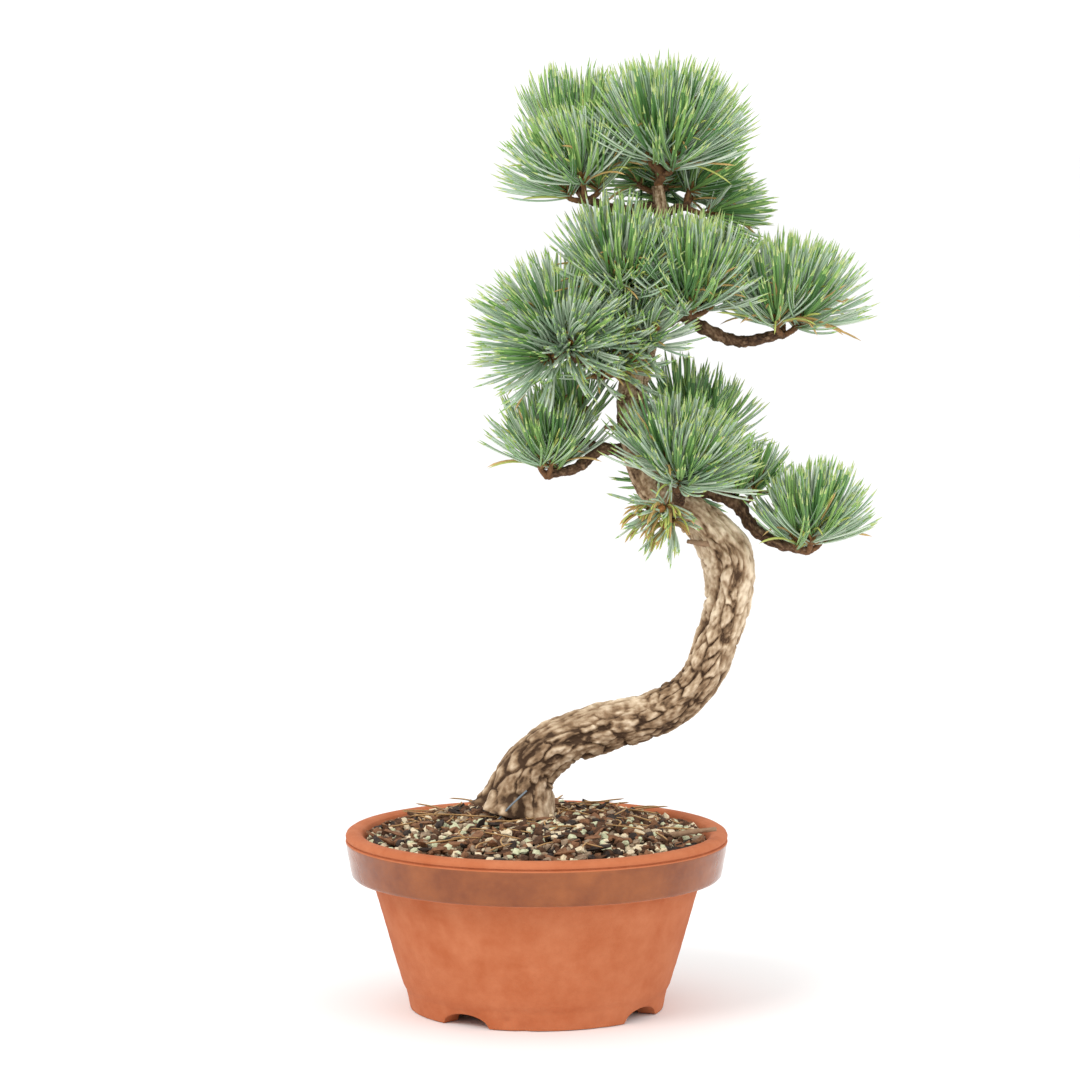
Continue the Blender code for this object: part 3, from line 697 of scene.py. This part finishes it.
def build_canopy(trunk_path, bough_lines, twig_bark, bud_brown, sheath_brown):
    """Every mass, and then the twigs, the buds and the sheaths as one joined piece of each kind."""
    materials = needle_materials()
    everything = np.concatenate([trunk_path, *bough_lines.values()])

    def limb_ends(name, foot):
        """Where the twig to a mass starts: nowhere if a bough carries it, else at the nearest point of a
        limb, where a point above the foot counts as farther off."""
        if name in bough_lines:
            return None
        away = np.linalg.norm(everything - foot, axis=1) + 2.0 * np.maximum(0, everything[:, 2] - foot[2])
        return everything[np.argmin(away)]

    all_twigs, all_buds, all_sheaths = [], [], []
    for seed, name in enumerate(MASSES):
        twigs, buds, sheaths = build_mass(seed, name, materials, limb_ends)
        all_twigs += twigs
        all_buds += buds
        all_sheaths += sheaths
    points, faces = joined([tube(line, radii, 10) for line, radii in all_twigs])
    put_down("twigs", points, faces, [twig_bark])
    parts = []
    for place, direction in all_buds:
        t = np.linspace(0, 1, BUD_ROWS)
        line = place + direction * (t[:, None] * BUD_LENGTH - 0.0012)
        scales = 1 + 0.20 * np.mod(t * 5, 1.0)
        parts.append(tube(line, BUD_RADIUS * np.sin(pi * (0.12 + 0.86 * t)) ** 0.8 * scales, 8))
    points, faces = joined(parts)
    put_down("buds", points, faces, [bud_brown], smooth=False)
    roots, ways, outs = [np.concatenate(group) for group in zip(*all_sheaths)]
    count = len(roots)
    points, faces, _, _ = blades(
        roots - ways * 0.0010, ways, ways, np.full(count, SHEATH_LENGTH), np.full(count, SHEATH_WIDTH), outs)
    put_down("sheaths", points, faces, [sheath_brown])


# Pot

# The notches in the foot: their angles in degrees and their size. The foot lies beyond the floor.
NOTCHES = (-124.0, -34.5, 56.0, 145.5)
NOTCH_HEIGHT = 0.0060
NOTCH_HALF_WIDTH = 0.0135
FOOT_TOP = 0.0090
FOOT_RADIUS = 0.0640
FLOOR_RADIUS = 0.0535
POT_TURNS = 320
SHARP_ANGLE = 50

# The wall's unevenness, and the depth and spacing of the lines that turning leaves.
UNEVEN_DEPTH = 0.00022
LINE_DEPTH = 0.00005
LINE_SPACING = 0.0011

# Each chip in the foot: its angle in degrees, its height and its size. They lie on the outer side only.
CHIPS = ((-103.5, 0.0045, 0.0022), (-95.5, 0.0010, 0.0030), (-60.5, 0.0030, 0.0026))
CHIP_DEPTH = 0.0013
CHIP_RADIUS = 0.0650
OUTER_SIDE = 0.060

# The glazed band: the least radius, and the heights between which it lies.
GLAZE_RADIUS = 0.0916
GLAZE_FROM = 0.0664
GLAZE_TO = 0.0838

# The section of the wall as (radius, height, points to the next corner), up the outside and down the inside.
POT_SECTION = (
    (0.0635, 0.0000, 10), (0.0653, 0.0090, 4), (0.0670, 0.0120, 12), (0.0712, 0.0260, 12),
    (0.0760, 0.0430, 12), (0.0825, 0.0656, 3), (0.0835, 0.0661, 5), (0.0917, 0.0663, 3),
    (0.0926, 0.0672, 14), (0.0955, 0.0838, 3), (0.0953, 0.0843, 2), (0.0943, 0.0847, 2),
    (0.0943, 0.0851, 2), (0.0953, 0.0855, 3), (0.0955, 0.0866, 3), (0.0950, 0.0878, 3),
    (0.0936, 0.0887, 3), (0.0915, 0.0890, 3), (0.0893, 0.0887, 3), (0.0874, 0.0877, 3),
    (0.0866, 0.0862, 6), (0.0845, 0.0740, 6), (0.0755, 0.0610, 8), (0.0590, 0.0200, 4),
    (0.0530, 0.0140, 8), (0.0126, 0.0140, 1), (0.0120, 0.0134, 3), (0.0120, 0.0076, 1),
    (0.0126, 0.0070, 8), (0.0555, 0.0070, 2), (0.0562, 0.0062, 5), (0.0542, 0.0000, 4),
)


def turned_section(corners):
    """Points along a closed section, evenly between corners, each corner's share of them as listed."""
    spots = []
    for (radius, height, steps), (next_radius, next_height, _) in zip(corners, corners[1:] + corners[:1]):
        part = np.linspace(0, 1, steps, endpoint=False)[:, None]
        spots.append((1 - part) * np.array((radius, height)) + part * np.array((next_radius, next_height)))
    return np.concatenate(spots)


def build_pot(clay, glaze):
    """The pot turned about its axis. The foot is squeezed up to an arch, half an ellipse, at each notch: a
    height below the foot's top is moved to arch + height (1 - arch / top). Noise and faint turning lines
    are added to the wall's radius, and each chip takes a bell-shaped dent from it."""
    section = turned_section(POT_SECTION)
    turn = full_turn(POT_TURNS)
    radius = np.repeat(section[:, :1], POT_TURNS, axis=1)
    height = np.repeat(section[:, 1:], POT_TURNS, axis=1)
    arch = np.zeros(POT_TURNS)
    for notch in NOTCHES:
        away = (np.mod(turn - radians(notch) + pi, 2 * pi) - pi) * FOOT_RADIUS
        arch = np.maximum(arch, NOTCH_HEIGHT * np.sqrt(np.clip(1 - (away / NOTCH_HALF_WIDTH) ** 2, 0, 1)))
    in_foot = (height < FOOT_TOP) & (radius > FLOOR_RADIUS)
    height = np.where(in_foot, arch[None, :] + height * (1 - arch[None, :] / FOOT_TOP), height)
    spots = around(2.0, turn, section[:, 1:] / 0.02)
    wall = UNEVEN_DEPTH * rough_noise(spots, 71, 3) + LINE_DEPTH * np.sin(section[:, 1:] / LINE_SPACING)
    radius = radius + np.where(section[:, :1] > FLOOR_RADIUS, wall, 0)
    for angle, level, size in CHIPS:
        away = (np.mod(turn - radians(angle) + pi, 2 * pi) - pi)[None, :] * CHIP_RADIUS
        near = np.exp(-(away / size) ** 2 - ((height - level) / (size * 1.2)) ** 2)
        radius = radius - np.where(section[:, :1] > OUTER_SIDE, CHIP_DEPTH * near, 0)
    points = around(radius, turn, height)
    faces = ring_faces(len(section), POT_TURNS, wrap_rows=True)
    in_band = (section[:, 1] > GLAZE_FROM) & (section[:, 1] < GLAZE_TO)
    glazed = (section[:, 0] > GLAZE_RADIUS) & in_band
    face_materials = np.repeat(glazed.astype(int), POT_TURNS)
    piece = put_down("pot_turned", points, faces, [clay, glaze], face_materials, node="pot")
    piece.data.set_sharp_from_angle(angle=radians(SHARP_ANGLE))


# Soil and what lies on it

# The mound: its top, its fall, the radius where it starts to fall and how far out it falls.
MOUND_TOP = 0.0952
MOUND_FALL = 0.0112
MOUND_FLAT = 0.034
MOUND_SLOPE = 0.052

# The bed: where its top meets the wall, then its side as (radius, height) down to the floor.
SOIL_EDGE = 0.0858
SOIL_SIDE = ((0.0838, 0.0740), (0.0748, 0.0610), (0.0585, 0.0205), (0.0520, 0.0145))
SOIL_ROWS = 60
SOIL_TURNS = 160
BUMP_HEIGHT = 0.0010
BUMP_SIZE = 0.006

# How far the bed lies under the mound, the reach of the grains' middles and that of their corners.
GRAIN_DEPTH = 0.0016
GRAIN_SPREAD = 0.0835
GRAIN_REACH = 0.0852


def soil_height(radius):
    """The mound: level round the trunk, then falling to the wall, about a third of it evenly and the rest
    ever faster."""
    share = np.clip((radius - MOUND_FLAT) / MOUND_SLOPE, 0, 1)
    return MOUND_TOP - MOUND_FALL * (0.35 * share + 0.65 * share ** 1.6)


def build_soil_bed(soil):
    """The soil as a turned body: its uneven top out to the wall, then down the wall to the floor. The top
    is the mound, let down by the depth of the grains, with layered noise on it. The rings run from the
    middle outward, so their faces are turned over to look out."""
    side = np.array(SOIL_SIDE)
    radius = np.concatenate([np.linspace(0.0006, SOIL_EDGE, SOIL_ROWS), side[:, 0]])[:, None]
    level = soil_height(radius)
    level[SOIL_ROWS:, 0] = side[:, 1]
    turn = full_turn(SOIL_TURNS)
    grid = around(radius, turn, level)
    bumps = BUMP_HEIGHT * rough_noise(around(radius, turn, 0.0) / BUMP_SIZE, 81)
    grid[:SOIL_ROWS, :, 2] += bumps[:SOIL_ROWS] - GRAIN_DEPTH
    poles = np.array([[0, 0, MOUND_TOP - GRAIN_DEPTH], [0, 0, SOIL_SIDE[-1][1]]])
    points = np.concatenate([grid.reshape(-1, 3), poles])
    faces = [face[::-1] for face in ring_faces(len(radius), SOIL_TURNS)]
    put_down("soil_bed", points, faces, [soil], node="soil")


def lump_shape():
    """The twelve corners and twenty faces of an icosahedron, from the golden ratio."""
    gold = (1 + 5 ** 0.5) / 2
    corners = []
    for one in (-1, 1):
        for two in (-gold, gold):
            corners += [(0, one, two), (one, two, 0), (two, 0, one)]
    corners = np.array(corners, dtype=float)
    faces = []
    for a in range(12):
        for b in range(a + 1, 12):
            for c in range(b + 1, 12):
                trio = corners[[a, b, c]]
                sides = np.linalg.norm(trio - np.roll(trio, 1, axis=0), axis=1)
                if np.all(sides < 2.1):
                    outward = np.dot(np.cross(trio[1] - trio[0], trio[2] - trio[0]), trio.sum(axis=0)) > 0
                    faces.append((a, b, c) if outward else (a, c, b))
    return unit(corners), np.array(faces)


def scatter(rng, count, sizes, flat, lift):
    """Uneven lumps strewn on the soil: an icosahedron with each corner moved in or out, stretched by its
    three sizes, tipped, spun and put down at random. What would pass the pot's wall is drawn in to it.
    Returns points, faces and the lump of each face."""
    shape, faces = lump_shape()
    radius = GRAIN_SPREAD * np.sqrt(rng.uniform(0.0, 1, count))
    turn = rng.uniform(0, 2 * pi, count)
    wobble = 1 + rng.uniform(-0.28, 0.28, (count, len(shape), 1))
    size = rng.uniform(sizes[0], sizes[1], count)
    ranges = ((0.8, 1.3), (0.7, 1.0), (0.55, 0.9))
    stretch = np.stack([rng.uniform(low, high, count) for low, high in ranges], axis=1)
    stretch = stretch * size[:, None] / 2 * np.array(flat)
    points = shape[None] * wobble * stretch[:, None]
    spin = rng.uniform(0, 2 * pi, count)
    tip = rng.normal(0, 0.35, count)
    cosine, sine = np.cos(tip)[:, None], np.sin(tip)[:, None]
    x = points[..., 0] * cosine + points[..., 2] * sine
    z = -points[..., 0] * sine + points[..., 2] * cosine
    y = points[..., 1]
    cosine, sine = np.cos(spin)[:, None], np.sin(spin)[:, None]
    turned = np.stack([x * cosine - y * sine, x * sine + y * cosine, z], axis=-1)
    level = soil_height(radius) + rng.uniform(-0.0016, 0.0012, count) + lift
    turned = turned + around(radius, turn, level)[:, None]
    from_axis = np.linalg.norm(turned[..., :2], axis=-1, keepdims=True)
    turned[..., :2] *= np.minimum(1, GRAIN_REACH / np.maximum(from_axis, 1e-9))
    all_faces = (faces[None] + np.arange(count)[:, None, None] * len(shape)).reshape(-1, 3)
    return turned.reshape(-1, 3), all_faces, np.repeat(np.arange(count), len(faces))


# Each kind of grain: its name, its dark and pale colours, and its share of the grains.
GRAINS = (
    ("bark_dark", (58, 42, 32), (104, 76, 58), 0.24),
    ("bark_brown", (98, 68, 50), (150, 110, 82), 0.24),
    ("lava_black", (40, 35, 33), (78, 68, 62), 0.10),
    ("bark_grey", (122, 104, 86), (170, 148, 124), 0.17),
    ("pumice_cream", (206, 186, 150), (240, 226, 196), 0.15),
    ("pumice_green", (178, 180, 144), (216, 218, 184), 0.10),
)
GRAIN_COUNT = 3300
GRAIN_SIZES = (0.0026, 0.0062)

# The chips are flat, and of the first three kinds.
CHIP_COUNT = 170
CHIP_KINDS = 3
CHIP_SIZES = (0.0070, 0.0125)
CHIP_FLATNESS = (1.25, 0.55, 0.30)
CHIP_LIFT = 0.0012

# The dry needles: how far out they start, how far they may reach, and how high above the mound they lie.
DRY_COUNT = 90
DRY_WIDTH = 0.0010
DRY_LENGTHS = (0.010, 0.030)
DRY_SPREAD = 0.070
DRY_REACH = 0.0845
DRY_LIFT = 0.0022


def build_top_dressing():
    """Grains of bark, lava and pumice, larger chips of bark, and dry needles lying on them."""
    rng = np.random.default_rng(41)
    materials = [
        mottled_material("grain_" + name, linear(*dark), linear(*pale), 420, 0.9, 1500, 0.0004, gloss=0.2)
        for name, dark, pale, _ in GRAINS
    ]
    points, faces, lump = scatter(rng, GRAIN_COUNT, GRAIN_SIZES, (1, 1, 1), 0.0)
    kinds = rng.choice(len(GRAINS), GRAIN_COUNT, p=[share for _, _, _, share in GRAINS])
    put_down("soil_grains", points, faces, materials, kinds[lump], smooth=False)
    points, faces, lump = scatter(rng, CHIP_COUNT, CHIP_SIZES, CHIP_FLATNESS, CHIP_LIFT)
    kinds = rng.choice(CHIP_KINDS, CHIP_COUNT)
    put_down("bark_chips", points, faces, materials[:CHIP_KINDS], kinds[lump], smooth=False)
    straw = plain_material("dry_needle", linear(182, 142, 92), 0.7)
    radius = DRY_SPREAD * np.sqrt(rng.uniform(0, 1, DRY_COUNT))
    turn = rng.uniform(0, 2 * pi, DRY_COUNT)
    way = rng.uniform(0, 2 * pi, DRY_COUNT)
    roots = around(radius, turn, soil_height(radius) + DRY_LIFT)
    start = around(1.0, way, rng.uniform(-0.02, 0.10, DRY_COUNT))
    bent = way + rng.normal(0, 0.5, DRY_COUNT)
    end = around(1.0, bent, rng.uniform(-0.12, -0.02, DRY_COUNT))
    room = np.clip(DRY_REACH - radius, *DRY_LENGTHS)
    points, faces, _, _ = blades(
        roots, unit(start), unit(end), room * rng.uniform(0.6, 1, DRY_COUNT),
        np.full(DRY_COUNT, DRY_WIDTH), np.tile(np.array((0.0, 0.0, 1.0)), (DRY_COUNT, 1)))
    put_down("dry_needles", points, faces, [straw])


# The stick on the soil, the stub and the snag on the trunk: stations, and radius at each end.
STICKS = (
    (((0.0640, -0.0260, 0.0900), (0.0760, -0.0290, 0.0925), (0.0885, -0.0320, 0.0945)), 0.0016, 0.0011),
    (((0.0478, -0.0040, 0.2900), (0.0420, -0.0090, 0.2905), (0.0335, -0.0110, 0.2915)), 0.0019, 0.0009),
    (((0.0880, -0.0080, 0.2330), (0.0770, -0.0110, 0.2345), (0.0745, -0.0120, 0.2350)), 0.0022, 0.0010),
)
STICK_ROWS = 40
STICK_SIDES = 14
STICK_RADIUS = 0.0016
STICK_BARK = (0.0016, 0.0030, 0.0003)
WIRE = ((-0.0200, -0.0190, 0.0955), (-0.0140, -0.0205, 0.1030), (-0.0050, -0.0160, 0.1110))
WIRE_RADIUS = 0.0005


def build_odds(bark, metal):
    """A dead stick that leans towards the rim at the right, a dead stub and a snag on the trunk, and a tie
    of thin wire: tubes along smooth lines, tapering but for the wire."""
    parts = []
    for stations, start, end in STICKS:
        line, along = smooth_line(stations, STICK_ROWS)
        relief, _ = bark_relief(along, STICK_SIDES, np.full(STICK_ROWS, STICK_RADIUS), *STICK_BARK, 301)
        parts.append(tube(line, np.linspace(start, end, STICK_ROWS), STICK_SIDES, relief))
    points, faces = joined(parts)
    tone = np.full(len(points), 0.55)
    put_down("dead_sticks", points, faces, [bark], tone=tone)
    line, _ = smooth_line(WIRE, STICK_ROWS)
    points, faces = tube(line, np.full(STICK_ROWS, WIRE_RADIUS), 8)
    put_down("tie_wire", points, faces, [metal])


# Stage

FLOOR_HALF = 30.0
FLOOR_GAP = 0.0004
FLOOR_WHITE = 0.93
SKY_STRENGTH = 1.10
LIT_POINT = (0, 0, 0.22)


def area_light(name, place, size, power, colour):
    """A square soft light that faces the middle of the object."""
    data = bpy.data.lights.new(name, "AREA")
    data.shape = "SQUARE"
    data.size = size
    data.energy = power
    data.color = colour
    light = bpy.data.objects.new(name, data)
    light.location = place
    way = unit(np.subtract(LIT_POINT, place))
    light.rotation_euler = (np.arccos(-way[2]), 0, np.arctan2(way[0], -way[1]) + pi)
    bpy.context.scene.collection.objects.link(light)


def build_stage():
    """A wide pale floor, a pale sky, two soft lights and the camera."""
    corners = [(x * FLOOR_HALF, y * FLOOR_HALF, 0) for x, y in ((-1, -1), (1, -1), (1, 1), (-1, 1))]
    mesh = bpy.data.meshes.new("floor")
    mesh.from_pydata(corners, [], [(0, 1, 2, 3)])
    mesh.materials.append(plain_material("pale_floor", (FLOOR_WHITE, FLOOR_WHITE, FLOOR_WHITE, 1), 0.9))
    floor = bpy.data.objects.new("floor", mesh)
    floor.location = (0, 0, -FLOOR_GAP)
    bpy.context.scene.collection.objects.link(floor)
    world = bpy.data.worlds.new("pale_sky")
    world.use_nodes = True
    sky = world.node_tree.nodes["Background"]
    sky.inputs["Color"].default_value = (1, 1, 1, 1)
    sky.inputs["Strength"].default_value = SKY_STRENGTH
    bpy.context.scene.world = world
    bpy.context.scene.view_settings.view_transform = "Standard"
    area_light("key_light", (-1.3, -1.5, 1.9), 1.1, 26, (1.0, 0.98, 0.95))
    area_light("fill_light", (1.6, -1.2, 1.0), 1.6, 9, (0.97, 0.98, 1.0))
    data = bpy.data.cameras.new("camera")
    data.lens = CAMERA_LENS
    data.sensor_width = SENSOR_WIDTH
    camera = bpy.data.objects.new("camera", data)
    camera.location = CAMERA_AT
    camera.rotation_euler = (radians(90 - CAMERA_DOWN), 0, 0)
    bpy.context.scene.collection.objects.link(camera)
    bpy.context.scene.camera = camera


def build():
    """Every piece of the tree and its pot."""
    # The bark colours follow the tone, which holds painted shade in the cracks, the hollows and the groove.
    trunk_bark = mottled_material(
        "trunk_bark", linear(74, 56, 42), linear(232, 212, 184), 260, 0.9, 900, 0.0005, "tone", 0.25)
    add_stop(trunk_bark, 0.50, linear(138, 112, 86))
    add_stop(trunk_bark, 0.70, linear(186, 162, 134))
    bough_bark = mottled_material(
        "bough_bark", linear(52, 38, 30), linear(172, 142, 114), 420, 0.85, 1400, 0.0003, "tone", 0.25)
    add_stop(bough_bark, 0.58, linear(98, 74, 56))
    twig_bark = mottled_material("twig_bark", linear(74, 48, 30), linear(138, 98, 62), 500, 0.8, 1600, 0.0002)
    bud_brown = mottled_material(
        "bud_brown", linear(120, 66, 32), linear(196, 134, 78), 700, 0.6, 1800, 0.0002)
    sheath_brown = plain_material("sheath_brown", linear(140, 104, 58), 0.6)
    clay = mottled_material(
        "red_clay", linear(174, 96, 60), linear(190, 116, 80), 60, 0.85, 1300, 0.0003, gloss=0.25)
    glaze = mottled_material("brown_glaze", linear(118, 60, 28), linear(150, 84, 42), 45, 0.16, 220, 0.0003)
    soil = mottled_material(
        "soil_bed", linear(30, 22, 17), linear(78, 58, 42), 260, 0.95, 700, 0.0012, gloss=0.1)
    metal = plain_material("tie_wire", linear(110, 120, 128), 0.4)
    build_pot(clay, glaze)
    build_soil_bed(soil)
    build_top_dressing()
    trunk_path = build_trunk(trunk_bark)
    bough_lines = build_boughs(bough_bark)
    build_canopy(trunk_path, bough_lines, twig_bark, bud_brown, sheath_brown)
    build_odds(bough_bark, metal)


build_stage()
build()
